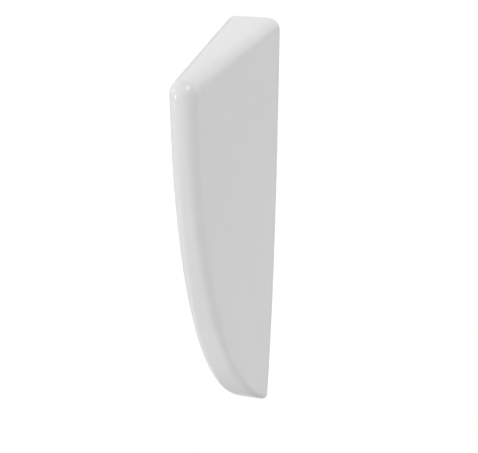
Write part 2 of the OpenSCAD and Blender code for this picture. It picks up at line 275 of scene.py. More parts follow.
# %% Mix the metals, plastics and rubber
zinc = finish("zinc_plate", (0.50, 0.515, 0.54), (0.26, 0.46),
              drift=0.14, patch=9, grain=0.5, depth=0.008, stretch=(1, 1, 0.08), Metallic=1.0)
stainless = finish("turned_stainless", (0.56, 0.57, 0.58), (0.18, 0.34), drift=0.04, patch=3,
                   grain=0.12, depth=0.004, stretch=(0.02, 0.02, 1), Metallic=1.0)
soft_grey = finish("soft_grey_plastic", (0.22, 0.23, 0.24), (0.55, 0.75),
                   drift=0.06, patch=8, grain=0.4, depth=0.02)
pad_white = finish("pad_plastic", (0.70, 0.70, 0.68), (0.42, 0.58),
                   drift=0.02, patch=12, grain=0.3, depth=0.01)
nylon = finish("natural_nylon", (0.80, 0.77, 0.69), (0.34, 0.50),
               drift=0.03, patch=5, grain=0.35, depth=0.01,
               Subsurface_Weight=0.15, Subsurface_Scale=2 * mm, Subsurface_Radius=(1.0, 0.95, 0.8))
acetal = finish("black_acetal", (0.045, 0.045, 0.05), (0.30, 0.46),
                drift=0.10, patch=4, grain=0.2, depth=0.006)
rubber = finish("black_rubber", (0.028, 0.028, 0.028), (0.70, 0.90),
                drift=0.12, patch=3, grain=0.25, depth=0.02)
gloss_white = finish("cap_plastic", (0.76, 0.76, 0.75), (0.12, 0.24),
                     drift=0.01, patch=10, grain=1.5, depth=0.006)

# %% Paint the floor, the card and the board
for sheet, grey in ((floor, 0.96), (dark_card, 0.42), (dark_board, 0.02)):
    paint, matt = material(f"{sheet.name}_paint")[:2]
    matt.inputs["Base Color"].default_value = (grey, grey, grey, 1)
    matt.inputs["Roughness"].default_value = 0.9
    matt.inputs["Specular IOR Level"].default_value = 0.0
    sheet.data.materials.append(paint)
    print(sheet.name, "throws back", grey, "of the light")

# %% [markdown]
# ## The china casting
# The casting is a thin flat body whose side faces lean towards each other. Seen from the
# side its edge runs along the flat top, round a corner, and down one long curve to the wall.
# Subdivided boxes would give a soft, uneven edge here. The outline is instead followed by a
# rounded section whose size changes smoothly, as a potter's template would do it.

# %% Write down the casting's sizes
TOP_W, FOOT_W = 85 * mm, 62 * mm
NARROWING, SIDE_DRAFT = 2.7, math.tan(math.radians(4.1))
TOP_ROUND, NOSE_ROUND, FOOT_ROUND = 18 * mm, 11.5 * mm, 12 * mm
CHINA_T, FLOOR_H, INNER_ROUND = 10 * mm, 57 * mm, 7 * mm
EASE_Z, FOOT_EASE_Z = 200 * mm, 175 * mm    # the rounding eases to the nose's, then to the foot's
TURN_D = 45 * mm                        # nearer the wall than this the section turns parallel to it
WALL_EDGE, RIM_EDGE = 1.2 * mm, 2.0 * mm    # rounding where outside and inside meet the rim
EDGE_STEPS = 5

FRONT_Z = SCREEN_H - TOP_ROUND          # where the front curve starts
FRONT_PULL, FOOT_PULL, FOOT_RISE = 430 * mm, 76 * mm, math.radians(36)
INNER_FRONT_PULL, INNER_FOOT_PULL = 420 * mm, 66 * mm
front_outer = np.array([[SCREEN_D, FRONT_Z], [SCREEN_D, FRONT_Z - FRONT_PULL],
                        [FOOT_PULL * math.cos(FOOT_RISE), FOOT_PULL * math.sin(FOOT_RISE)], [0, 0]])
front_inner = np.array([[SCREEN_D - CHINA_T, FRONT_Z], [SCREEN_D - CHINA_T, FRONT_Z - INNER_FRONT_PULL],
                        [INNER_FOOT_PULL, FLOOR_H], [0, FLOOR_H]])


def half_thickness(y, z):
    """Half the outside thickness y out from the wall and z above the foot: full width at
    the top, less a share that grows as a power of the depth below it, less the draft."""
    below = np.clip(1 - z / SCREEN_H, 0, 1)
    return TOP_W / 2 - (TOP_W - FOOT_W) / 2 * below ** NARROWING - SIDE_DRAFT * y


print(f"half thickness at the wall, half way up: {half_thickness(0, SCREEN_H / 2) / mm:.1f} mm")

# %% Follow the edge from the side
def unit(ways):
    """The same directions with a length of one."""
    return ways / np.maximum(np.linalg.norm(ways, axis=1, keepdims=True), 1e-9)


def round_off(r, x):
    """How far a quarter circle of radius r draws in at x from its start: r - sqrt(r^2 - x^2)."""
    return r - np.sqrt(np.maximum(r ** 2 - x ** 2, 0))


def curve(p, t):
    """Points and directions at t of the cubic curve with the four control points p."""
    t = np.asarray(t)[:, None]
    s = 1 - t
    point = s ** 3 * p[0] + 3 * s ** 2 * t * p[1] + 3 * s * t ** 2 * p[2] + t ** 3 * p[3]
    way = s ** 2 * (p[1] - p[0]) + 2 * s * t * (p[2] - p[1]) + t ** 2 * (p[3] - p[2])
    return point, unit(way)


def ease_in(s):
    """From 0 to 1 with short first steps: 0.3 s plus 1.4 s squared minus 0.7 s cubed."""
    return 0.3 * s + 1.4 * s ** 2 - 0.7 * s ** 3


def edge_steps(radius):
    """Distances from the wall of the first points on an edge rounded by this radius: the
    radius times one minus the sine of an angle that falls from 90 degrees to 0."""
    return radius * (1 - np.sin(np.linspace(np.pi / 2, 0, EDGE_STEPS + 1)))[:-1]


def side_outline(thick, front, top_n, corner_n, front_n, edge):
    """The edge seen from the side, as points (y, z), outward normals, and how far each point
    is round the corner from the top (0) to the front (1). thick is 0 outside, or the wall's."""
    steps = edge_steps(edge)
    run = SCREEN_D - TOP_ROUND - edge
    top_y = np.r_[steps, edge + run * ease_in(np.arange(top_n) / top_n)]
    top = np.c_[top_y, np.full(len(top_y), SCREEN_H - thick)]
    turn = np.pi / 2 * (1 - np.arange(corner_n) / corner_n)
    corner_way = np.c_[np.cos(turn), np.sin(turn)]
    corner = np.array([SCREEN_D, SCREEN_H]) - TOP_ROUND + (TOP_ROUND - thick) * corner_way
    # the last stations lie at the same small distances from the wall as the first
    fine_t = np.linspace(0.8, 1, 4001)
    fine_y = curve(front, fine_t)[0][:, 0]
    last_t = np.interp(-np.r_[edge, steps[::-1]], -fine_y, fine_t)
    t = np.r_[last_t[0] * (1 - ease_in(1 - np.linspace(0, 1, front_n + 1))), last_t[1:]]
    nose, way = curve(front, t)
    return (np.vstack([top, corner, nose]),
            np.vstack([np.tile([0.0, 1.0], (len(top), 1)), corner_way, np.c_[-way[:, 1], way[:, 0]]]),
            np.r_[np.zeros(len(top)), np.arange(corner_n) / corner_n, np.ones(len(t))])


# %% Carry a rounded section along it
TOP_SHARE = 0.1                         # of the wall line's length, for the sections behind the top


def rounded_skin(thick, front, counts, flat_n, arc_n, crown_n, edge):
    """The skin as a grid [station, column, xyz]. The columns run from the wall along the
    flat side, round the edge's arc and over the crown, then mirrored. An arc of radius r
    starts where it is tangent to the side, so the flat runs into it without a line."""
    points, normal, round_corner = side_outline(thick, front, *counts, edge)
    y, z = points.T
    top, nose, foot = ((TOP_ROUND, NOSE_ROUND, FOOT_ROUND) if thick == 0
                       else (TOP_ROUND - thick, INNER_ROUND, INNER_ROUND))
    radius = nose + (top - nose) * np.clip((z - EASE_Z) / (FRONT_Z - EASE_Z), 0, 1)
    at_foot = radius + (foot - radius) * np.clip(1 - z / FOOT_EASE_Z, 0, 1)
    radius = np.where(round_corner < 1, top, at_foot)
    # the direction into the body turns into the wall's plane near the wall
    turn = np.where(round_corner < 1, 0, np.clip(1 - y / TURN_D, 0, 1))[:, None]
    inward = unit(-normal * (1 - turn) + np.array([0, 1.0]) * turn)
    reach = radius / -(normal * inward).sum(1)
    start = points + inward * reach[:, None]
    start[:, 0] = np.maximum(start[:, 0], 0)
    side = half_thickness(start[:, 0], start[:, 1]) - thick
    lean = np.arctan((side - half_thickness(y, z) + thick) / reach)
    centre = side - radius / np.cos(lean)

    round_edge = np.linspace(0, 1, arc_n + 1)
    a = lean[:, None] + (np.pi / 2 - lean)[:, None] * round_edge
    arc_q = points[:, None] + inward[:, None] * (reach[:, None] * (1 - np.sin(a)))[..., None]
    arc = np.dstack([centre[:, None] + radius[:, None] * np.cos(a), arc_q])
    arc[..., 1] = np.maximum(arc[..., 1], 0)

    # heights down the wall line, which run ahead of the sections behind the top
    behind = int((round_corner < 1).sum())
    k = np.arange(len(points))
    first, last = arc[0, 0, 2], arc[-1, 0, 2]
    share = np.where(k < behind, TOP_SHARE * k / behind,
                     TOP_SHARE + (1 - TOP_SHARE) * (first - arc[:, 0, 2]) / (first - last))
    wall_z = first + (last - first) * share
    depth = arc[:, :1, 1]
    near = np.minimum(edge, depth)
    flat_y = np.concatenate([edge_steps(edge) / edge * near,
                             near + (depth - near) * np.linspace(0, 1, flat_n + 1)[:-1]], axis=1)
    along = np.divide(flat_y, depth, out=np.zeros_like(flat_y), where=depth > 0)
    flat_z = wall_z[:, None] + along * (arc[:, :1, 2] - wall_z[:, None])
    flat = np.dstack([half_thickness(flat_y, flat_z) - thick, flat_y, flat_z])

    crown = np.repeat(arc[:, -1:], crown_n - 1, axis=1)
    crown[..., 0] *= 1 - 2 * np.linspace(0, 1, crown_n + 1)[1:-1]
    one_side = np.concatenate([flat, arc], axis=1)
    other_side = (one_side * [-1, 1, 1])[:, ::-1]
    grid = np.concatenate([one_side, crown, other_side], axis=1)

    # round the edge at the wall: inwards by r - sqrt(r^2 - (r - y)^2), or outwards inside
    step = round_off(edge, np.maximum(edge - grid[..., 1], 0)) * (1 if thick == 0 else -1)
    half_turn = np.r_[np.zeros(flat.shape[1]), round_edge * np.pi / 2]
    turned_by = np.r_[half_turn, np.full(crown_n - 1, np.pi / 2), np.pi - half_turn[::-1]]
    facing_up = np.where(round_corner < 1, 1, -1)[:, None]
    grid[..., 0] -= step * np.cos(turned_by)
    grid[..., 2] -= step * np.sin(turned_by) * facing_up
    return grid * [1, -1, 1] + [0, 0, FOOT_Z]


outer = rounded_skin(0, front_outer, (40, 20, 200), flat_n=24, arc_n=12, crown_n=6, edge=WALL_EDGE)
inner = rounded_skin(CHINA_T, front_inner, (30, 12, 120), flat_n=16, arc_n=8, crown_n=4, edge=RIM_EDGE)
print("outer skin", outer.shape, "inner skin", inner.shape)

# %% Join the two skins at the ground rim
SAME_PLACE = 1e-6                       # points closer together than this are one point
GLAZED, BARE, INSIDE = 0, 1, 2          # places of the china's three finishes


def wall_loop(skin):
    """The skin's border, all of which lies on the wall, as places in the grid's flat list:
    first row, last column, last row and first column, each place once and no two equal."""
    index = np.arange(skin[..., 0].size).reshape(skin.shape[:2])
    loop = np.concatenate([index[0, :-1], index[:-1, -1], index[-1, :0:-1], index[:0:-1, 0]])
    place = skin.reshape(-1, 3)[loop]
    return loop[np.linalg.norm(place - np.roll(place, 1, axis=0), axis=1) > SAME_PLACE]


def grid_quads(rows, columns, wrap_rows=False, wrap_columns=True, start=0):
    """Quads between the neighbours of a grid that may close on itself either way."""
    index = np.arange(rows * columns).reshape(rows, columns) + start
    if wrap_columns:
        index = np.hstack([index, index[:, :1]])
    if wrap_rows:
        index = np.vstack([index, index[:1]])
    corners = [index[:-1, :-1], index[1:, :-1], index[1:, 1:], index[:-1, 1:]]
    return np.stack(corners, -1).reshape(-1, 4).tolist()


def closed_mesh(name, points, faces, slots=None):
    """A mesh whose doubled points are merged and whose faces all point outwards. slots is
    the number of the finish of each face."""
    mesh = bpy.data.meshes.new(name)
    mesh.from_pydata(np.asarray(points).reshape(-1, 3), [], faces)
    if slots is not None:
        slot_of_face = np.broadcast_to(slots, len(faces)).astype(np.int32)
        mesh.polygons.foreach_set("material_index", slot_of_face)
    work = bmesh.new()
    work.from_mesh(mesh)
    bmesh.ops.remove_doubles(work, verts=work.verts, dist=SAME_PLACE)
    bmesh.ops.dissolve_degenerate(work, edges=work.edges, dist=SAME_PLACE)
    bmesh.ops.recalc_face_normals(work, faces=work.faces)
    if work.calc_volume(signed=True) < 0:
        bmesh.ops.reverse_faces(work, faces=work.faces)
    open_edges = sum(not e.is_manifold for e in work.edges)
    work.to_mesh(mesh)
    work.free()
    print(f"{name}: {len(mesh.polygons)} faces, {open_edges} open edges")
    return mesh


def casting_mesh(outer, inner):
    """One closed shell: the outside, the inside, and a flat rim between their borders."""
    points = np.concatenate([outer.reshape(-1, 3), inner.reshape(-1, 3)])
    inner_start = outer[..., 0].size
    loops = [wall_loop(outer), wall_loop(inner) + inner_start]
    triangles = tessellate_polygon([[Vector(p) for p in points[loop]] for loop in loops])
    rim = np.concatenate(loops)[np.array(triangles)]
    outer_quads = grid_quads(*outer.shape[:2], wrap_columns=False)
    inner_quads = grid_quads(*inner.shape[:2], wrap_columns=False, start=inner_start)
    skins = outer_quads + inner_quads
    # the rounded edges at the wall are ground bare too
    slots = np.repeat([GLAZED, INSIDE], [len(outer_quads), len(inner_quads)])
    slots[points[np.array(skins), 1].mean(axis=1) > -WALL_EDGE / 2] = BARE
    slots = np.r_[slots, np.full(len(rim), BARE)]
    mesh = closed_mesh("china_body", points, skins + rim.tolist(), slots=slots)
    for china_finish in (glaze, ground_rim, thin_glaze):
        mesh.materials.append(china_finish)
    return mesh


china_mesh = casting_mesh(outer, inner)

# %% [markdown]
# ## What is cast into the body and what is drilled in the foot
# Two bars are cast across the inside, and the screen hangs by them. Each swells a little
# where it meets the walls, because a sharp inner corner would crack in the kiln. In the foot
# there is a flat land for the lock's washer, a hole for the bush, and the capped hole below.
# The bars are joined on and the holes are cut with booleans, and the result is kept as
# a plain mesh. The cutter for the lower hole follows the slanted underside, so that its glazed
# mouth is equally round all the way.

# %% Shape the bars
BAR_Y, BAR_T, BAR_H = 10 * mm, 16 * mm, 36 * mm
UPPER_BAR_Z, LOWER_BAR_Z = 567 * mm, 100 * mm


def soft_rectangle(width, height, radius, corner_n=6):
    """A closed loop round a rectangle with rounded corners: corner centres plus a turning
    radius. Gives the places and the outward directions."""
    quarter = np.arange(4)[:, None] * np.pi / 2
    a = (quarter + np.linspace(0, np.pi / 2, corner_n + 1)).ravel()
    way = np.c_[np.cos(a), np.sin(a)]
    corner = np.sign(np.c_[np.cos(quarter + np.pi / 4), np.sin(quarter + np.pi / 4)])
    centre = corner * [width / 2 - radius, height / 2 - radius]
    return np.repeat(centre, corner_n + 1, axis=0) + radius * way, way


def tube_faces(rows, columns):
    """The quads of a grid whose rows are closed loops, and a flat face over each end."""
    count = rows * columns
    return grid_quads(rows, columns) + [list(range(columns)), list(range(count - columns, count))]


def tube_mesh(name, loop, way, along, grow, place, slots=None):
    """A closed outline carried along a straight line, with flat ends. At each place along it
    the outline has grown outwards by grow. place turns arrays (first, second, along) into
    x, y and z."""
    grown = loop[None] + way[None] * grow[:, None, None]
    points = place(grown[..., 0], grown[..., 1], np.repeat(along[:, None], len(loop), 1))
    return closed_mesh(name, points, tube_faces(len(along), len(loop)), slots=slots)


def bar_mesh(name, z0):
    """A bar from wall to wall: its section grows near each end by r - sqrt(r^2 - (r - d)^2),
    where d is the distance from the wall and r the fillet's radius."""
    fillet, sunk, corner = 5 * mm, 3 * mm, 4 * mm
    loop, way = soft_rectangle(BAR_T, BAR_H, corner)
    wall_x = half_thickness(BAR_Y + BAR_T / 2, z0) - CHINA_T
    d = np.r_[-sunk, fillet * (1 - np.cos(np.linspace(0, np.pi / 2, 7)))]
    swell = round_off(fillet, fillet - np.clip(d, 0, fillet))
    along = np.r_[-(wall_x - d), (wall_x - d)[::-1]]
    return tube_mesh(name, loop, way, along, np.r_[swell, swell[::-1]], lambda y, z, x: np.dstack(
        [x, -(y + BAR_Y + BAR_T / 2), z + z0 + BAR_H / 2 + FOOT_Z]), slots=INSIDE)


bars = [bar_mesh("upper_bar", UPPER_BAR_Z), bar_mesh("lower_bar", LOWER_BAR_Z)]

# %% Shape the cutters
LOCK_Y, LEDGE_Z, CAP_HOLE_R, BUSH_HOLE_R = 18 * mm, 45 * mm, 11 * mm, 7.3 * mm
LAND_R, LAND_TOP, MOUTH_ROUND = 13 * mm, 66 * mm, 1.2 * mm


def upright(x, y, height):
    """Puts a shape on the lock's upright axis, with its heights measured from the foot."""
    return np.dstack([x, y - LOCK_Y, height + FOOT_Z])


def full_turn(segments):
    """The angles of that many equal steps once round."""
    return np.linspace(0, 2 * np.pi, segments, endpoint=False)


def round_rows(profile, segments):
    """Radius and height on a grid for a profile that is the same all round."""
    return tuple(np.repeat(column[:, None], segments, 1) for column in np.asarray(profile, float).T)


def stacked(name, parts, segments, place=upright, ring=False, slots=None):
    """A mesh from grids of radius and height that follow each other round an axis. Grids
    that make a ring are closed; others start and end on the axis."""
    radius, height = (np.concatenate([part[k] for part in parts]) for k in (0, 1))
    angle = full_turn(segments)
    points = place(radius * np.cos(angle), radius * np.sin(angle), height)
    return closed_mesh(name, points, grid_quads(len(radius), segments, wrap_rows=ring), slots=slots)


def turned(name, profile, segments=64, **others):
    """A profile of (radius, height) turned round an axis."""
    return stacked(name, [round_rows(profile, segments)], segments, **others)


def drill(name, radius, z0, z1):
    """A plain round cutter from one height to another, which leaves bare china."""
    return turned(name, [(0, z0), (radius, z0), (radius, z1), (0, z1)], slots=BARE)


def underside_z(y):
    """The underside's height at a distance from the wall, read off the front curve."""
    points = curve(front_outer, np.linspace(0.6, 1, 2001))[0]
    return np.interp(y, points[::-1, 0], points[::-1, 1])


def cap_hole_cutter(segments=96):
    """A cutter for the hole through the slanted underside, with a rounded mouth. Over a
    quarter turn b its radius is R + m (1 - cos b) and its height above the underside
    m (1 - sin b)."""
    past, below = 0.02 * mm, 8 * mm     # how far the cutter goes on outside the china
    angle, b = full_turn(segments), np.linspace(0, np.pi / 2, 9)
    r = CAP_HOLE_R + np.r_[0, MOUTH_ROUND * (1 - np.cos(b)), MOUTH_ROUND + past][:, None]
    y = r * np.sin(angle)
    z = underside_z(LOCK_Y - y) + np.r_[0, MOUTH_ROUND * (1 - np.sin(b)), -below][:, None]
    z[0] = LEDGE_Z
    return closed_mesh("cap_hole", upright(r * np.cos(angle), y, z), tube_faces(len(r), segments))


cutters = [cap_hole_cutter(),
           drill("bush_hole", BUSH_HOLE_R, LEDGE_Z - 1 * mm, FLOOR_H + 1 * mm),
           drill("washer_land", LAND_R, FLOOR_H, LAND_TOP)]

# %% Join the bars and cut the holes
def shaped(mesh, joined=(), cut=()):
    """The mesh after the others have been joined to it or cut from it."""
    body = new_object(mesh.name, mesh)
    helpers = []
    for operation, others in (("UNION", joined), ("DIFFERENCE", cut)):
        for other in others:
            helper = new_object(other.name, other)
            helpers.append(helper)
            step = body.modifiers.new(other.name, "BOOLEAN")
            step.operation, step.solver, step.object = operation, "MANIFOLD", helper
    bpy.context.view_layer.update()
    result = bpy.data.meshes.new_from_object(body.evaluated_get(bpy.context.evaluated_depsgraph_get()))
    for helper in helpers + [body]:
        bpy.data.objects.remove(helper)
    print(mesh.name, "shaped:", len(result.polygons), "faces")
    return result


china_mesh = shaped(china_mesh, joined=bars, cut=cutters)

# %% Put the casting into the scene
def add_piece(name, mesh, surface, body="screen", *, replaces, smooth):
    """Puts a finished mesh into the scene as a piece that rides on a body. Edges that turn
    by more than smooth, in degrees, stay sharp."""
    piece = new_object(name, mesh)
    if not any(mesh.materials):         # a boolean leaves an empty place for a finish
        mesh.materials.clear()
        mesh.materials.append(surface)
    mesh.shade_smooth()
    mesh.set_sharp_from_angle(angle=math.radians(smooth))
    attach(piece, body)
    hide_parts(*replaces)


add_piece("china_body", china_mesh, glaze, replaces=("screen_shell",), smooth=32)

# %% [markdown]
# ## Tools for the small parts
# Everything inside the china is turned, moulded in a straight run, or folded from sheet. One
# more helper rounds the corners of a drawn outline, and one the two ends of a straight run.
# Real edges are never perfectly sharp, and the small roundings catch the light.

# %% Round an outline and carry a section
def softened(corners, radii, steps=4):
    """The closed outline through the corners with each one rounded. An arc of radius r
    touches both sides at r / tan(half the corner's angle), and its centre lies at
    r / sin(half the angle) along the line that halves the corner. Each corner becomes
    steps + 1 points."""
    corners = np.asarray(corners, float)
    radii = np.broadcast_to(np.asarray(radii, float), len(corners))
    back, ahead = (unit(np.roll(corners, by, axis=0) - corners) for by in (1, -1))
    half = np.arccos(np.clip((back * ahead).sum(1), -0.999999, 0.999999)) / 2
    centre = corners + unit(back + ahead) * (radii / np.sin(half))[:, None]
    start = corners + back * (radii / np.tan(half))[:, None] - centre
    end = corners + ahead * (radii / np.tan(half))[:, None] - centre
    sweep, s = (np.pi - 2 * half)[:, None], np.linspace(0, 1, steps + 1)
    w0, w1 = np.sin((1 - s) * sweep) / np.sin(sweep), np.sin(s * sweep) / np.sin(sweep)
    arcs = centre[:, None] + w0[..., None] * start[:, None] + w1[..., None] * end[:, None]
    return arcs.reshape(-1, 2)


def outline_normals(loop):
    """The direction out of a closed outline at each point: across the line between its two
    different neighbours, turned so that it points away from the enclosed area."""
    keep = np.linalg.norm(loop - np.roll(loop, 1, axis=0), axis=1) > 1e-7
    loop = loop[keep]
    step = unit(np.roll(loop, -1, axis=0) - loop)
    way = unit(step + np.roll(step, 1, axis=0))
    area = (loop[:, 0] * np.roll(loop[:, 1], -1) - np.roll(loop[:, 0], -1) * loop[:, 1]).sum()
    return loop, np.c_[way[:, 1], -way[:, 0]] * np.sign(area)


def end_steps(length, edge, steps=4):
    """Places along a run of this length, centred, and how far the section draws in at each:
    over the last stretch e the outline draws in by e - sqrt(e^2 - (e - d)^2)."""
    d = edge * (1 - np.cos(np.linspace(0, np.pi / 2, steps + 1)))
    inset = round_off(edge, edge - d)
    along = np.r_[-length / 2 + d, length / 2 - d[::-1]]
    return along, np.r_[inset, inset[::-1]]


def carried_mesh(name, outline, length, edge, place):
    """A section carried along a straight line, with rounded ends."""
    along, inset = end_steps(length, edge)
    return tube_mesh(name, *outline_normals(outline), along, -inset, place)


square = softened([(0, 0), (1, 0), (1, 1), (0, 1)], 0.2)
print("a square with rounded corners has", len(square), "points")

# %% [markdown]
# ## The two steel hangers
# Each hanger is a strip of 3 mm sheet steel: punched with two screw holes, its top corners
# rounded, folded up into a hook and zinc plated. The section of the fold is drawn once with
# true bend radii and carried across the width. Near the sides the top end of the section
# drops along a quarter circle, which rounds the plate's corners as a press tool would.

# %% Fold the hangers
STEEL_T, HOOK_GAP, LIP_H, HANGER_H, BEND_R = 3 * mm, 30 * mm, 18 * mm, 70 * mm, 3 * mm
PLATE_ROUND, SCREW_H, SCREW_HOLE_R, BURR = 8 * mm, 54 * mm, 3.5 * mm, 0.4 * mm
LEVELS = ("upper", "lower")
HOOK_Z = {"upper": 560 * mm, "lower": 92 * mm}
PLATE_W = {"upper": 52 * mm, "lower": 40 * mm}
SCREW_GAP = {"upper": 24 * mm, "lower": 18 * mm}


def fold_section():
    """The hook seen from the side, as (distance from the wall, height): flat pieces with
    rounded corners, the outer bends a steel's thickness larger than the inner ones."""
    lip, outer_bend = 2 * STEEL_T + HOOK_GAP, BEND_R + STEEL_T
    corners = [(0, HANGER_H), (0, 0), (lip, 0), (lip, LIP_H), (lip - STEEL_T, LIP_H),
               (lip - STEEL_T, STEEL_T), (STEEL_T, STEEL_T), (STEEL_T, HANGER_H)]
    return softened(corners, [BURR, outer_bend, outer_bend, BURR, BURR, BEND_R, BEND_R, BURR], steps=8)


def screw_hole(name, x0, z0):
    """A cutter through the plate at this place, a little wider at both of its faces."""
    r, past, broken = SCREW_HOLE_R, 1 * mm, 0.3 * mm
    profile = [(0, -past), (r + broken, -past), (r + broken, 0), (r, broken), (r, STEEL_T - broken),
               (r + broken, STEEL_T), (r + broken, STEEL_T + past), (0, STEEL_T + past)]
    return turned(name, profile, 40, place=lambda a, b, along: np.dstack([a + x0, -along, b + z0]))


def hanger_mesh(name, level):
    """The folded strip with two screw holes, its corners rounded by r - sqrt(r^2 - x^2)."""
    width, hook_z = PLATE_W[level], HOOK_Z[level]
    loop, way = outline_normals(fold_section())
    ends, inset = end_steps(width, BURR)
    # more rows over the corners, at the places of equal steps round most of a quarter circle
    round_x = width / 2 - PLATE_ROUND * (1 - np.sin(np.linspace(0, 1.3, 12)))
    x = np.unique(np.round(np.r_[ends, -round_x, round_x], 7))
    drop = round_off(PLATE_ROUND, np.maximum(np.abs(x) - (width / 2 - PLATE_ROUND), 0))
    drop = drop[:, None] * (loop[:, 1] > HANGER_H - 2 * BURR)
    plate = tube_mesh(name, loop, way, x, -np.interp(x, ends, inset),
                      lambda y, z, x: np.dstack([x, -y, z - drop + hook_z + FOOT_Z]))
    holes = [screw_hole(f"{name}_hole_{side}", side * SCREW_GAP[level] / 2, hook_z + SCREW_H + FOOT_Z)
             for side in (-1, 1)]
    return shaped(plate, cut=holes)


for level in LEVELS:
    name = f"{level}_hanger_plate"
    add_piece(name, hanger_mesh(name, level), zinc,
              replaces=(f"{level}_hanger",), smooth=40)

# %% [markdown]
# ## The soft saddles and the side pads
# China mustn't rest on steel, so each hook is lined with an extruded channel of soft grey
# plastic, cut to length and clipped over the hook's lip. The white pads beside the plates
# keep the screen from rocking. They are moulded, with a lead-in where the china slides on.

# %% Extrude the saddles
SADDLE_W = {"upper": 48 * mm, "lower": 36 * mm}


def saddle_section():
    """The channel seen from the side, as (distance from the wall, height above the hook)."""
    fit, play, lead, floor_t, skin, grip = 0.1 * mm, 0.5 * mm, 2 * mm, 4 * mm, 1.5 * mm, 6 * mm
    y0, y1, z0 = STEEL_T + fit, STEEL_T + HOOK_GAP - fit, STEEL_T + fit
    in0, in1 = BAR_Y - play, BAR_Y + BAR_T + play
    lip, top = 2 * STEEL_T + HOOK_GAP, LIP_H + 2 * mm
    corners = [(y0, top), (y0, z0), (y1, z0), (y1, LIP_H + fit), (lip + fit, LIP_H + fit),
               (lip + fit, LIP_H - grip), (lip + skin, LIP_H - grip), (lip + skin, top),
               (in1 + lead, top), (in1, top - lead), (in1, STEEL_T + floor_t), (in0, STEEL_T + floor_t),
               (in0, top - lead), (in0 - lead, top)]
    radii = np.array([0.5, 3.6, 3.6, 0.3, 0.2, 0.5, 0.5, 1.2, 1.0, 1.0, 1.0, 1.0, 1.0, 1.0]) * mm
    return softened(corners, radii)


def saddle_mesh(name, level):
    """The channel's section carried across the hook."""
    return carried_mesh(name, saddle_section(), SADDLE_W[level], 0.5 * mm,
                        lambda y, z, x: np.dstack([x, -y, z + HOOK_Z[level] + FOOT_Z]))


for level in LEVELS:
    name = f"{level}_saddle_channel"
    add_piece(name, saddle_mesh(name, level), soft_grey,
              replaces=(f"{level}_saddle",), smooth=40)

# %% Mould the side pads
PAD_RISE, PAD_H, PAD_D = 47 * mm, 20 * mm, 9 * mm


def pad_mesh(name, level, side):
    """An L-shaped clip in plan, round the plate's edge, carried upwards. Its outer face
    follows the inside of the china at a small gap."""
    fit, play, grip = 0.1 * mm, 0.4 * mm, 5 * mm
    z0 = HOOK_Z[level] + PAD_RISE
    edge, tip = PLATE_W[level] / 2 + fit, PLATE_W[level] / 2 - grip
    inside = half_thickness(np.array([0, PAD_D]), z0) - CHINA_T - play
    corners = [(edge, 0), (inside[0], 0), (inside[1], PAD_D), (tip, PAD_D),
               (tip, STEEL_T + fit), (edge, STEEL_T + fit)]
    outline = softened(corners, np.array([0.4, 0.8, 2.0, 1.2, 0.4, 0.2]) * mm, steps=5)
    return carried_mesh(name, outline, PAD_H, 1.0 * mm,
                        lambda x, y, z: np.dstack([side * x, -y, z + z0 + PAD_H / 2 + FOOT_Z]))


for level in LEVELS:
    for side, label in ((-1, "left"), (1, "right")):
        name = f"{level}_{label}_pad"
        add_piece(name, pad_mesh(name, level, side), pad_white,
                  replaces=(f"{level}_side_pads",), smooth=40)

# %% [markdown]
# ## The lock in the foot
# A nylon bush goes down through the foot and is held by a rubber washer above and a round
# nut below. The lock screw turns in it and carries a swivel foot on a ball. The real
# threads are helices, so here the radius is a function of the angle and the height: a wave
# that repeats once a pitch and climbs one pitch a turn. The screw and the bush use the same
# wave a small gap apart, so the screw really could turn in it at every place of its travel.

# %% Cut the threads
LOCK_THREAD = 4.0 * mm, 0.70 * mm, 1.25 * mm    # radius of the crests, depth and pitch
NUT_THREAD = 7.0 * mm, 0.75 * mm, 1.5 * mm
ROWS_A_TURN = 8


def thread_wave(height, angle, pitch):
    """0 on a crest and 1 in a root, with short flats on both: u is the place within one
    pitch, and the wave is |2u - 1| stretched past its ends and cut off at 0 and 1."""
    u = np.mod(height / pitch - angle / (2 * np.pi), 1)
    return np.clip(1.35 * np.abs(2 * u - 1) - 0.175, 0, 1)


def thread_rows(z0, z1, thread, chamfer, segments, outward=0.0):
    """Radius and height on a grid [height, angle] of an outside thread, or of an inside one
    with outward as its gap. The ends run out in a chamfer that cuts the wave off."""
    crest_r, depth, pitch = thread
    height = np.linspace(z0, z1, int(round((z1 - z0) / pitch * ROWS_A_TURN)) + 1)[:, None]
    radius = crest_r - depth * thread_wave(height, full_turn(segments)[None], pitch) + outward
    from_end = np.minimum(height - z0, z1 - height)
    if outward:
        radius = np.maximum(radius, crest_r + outward - np.maximum(from_end, 0) * depth / chamfer)
    else:
        radius = np.minimum(radius, crest_r - depth + from_end * depth / chamfer)
    return radius, height + 0 * radius


print("crest radius, depth and pitch: lock", LOCK_THREAD, "nut", NUT_THREAD)

# %% Turn the lock screw
SCREW_Z0, SCREW_Z1, BALL_Z, BALL_R, NECK_R = 45 * mm, 84 * mm, 88 * mm, 2.8 * mm, 2.0 * mm
HALF_KEY, SOCKET_DEPTH, SOCKET_TIP, BEVEL = 2 * mm, 5.0 * mm, 5.6 * mm, 0.25 * mm


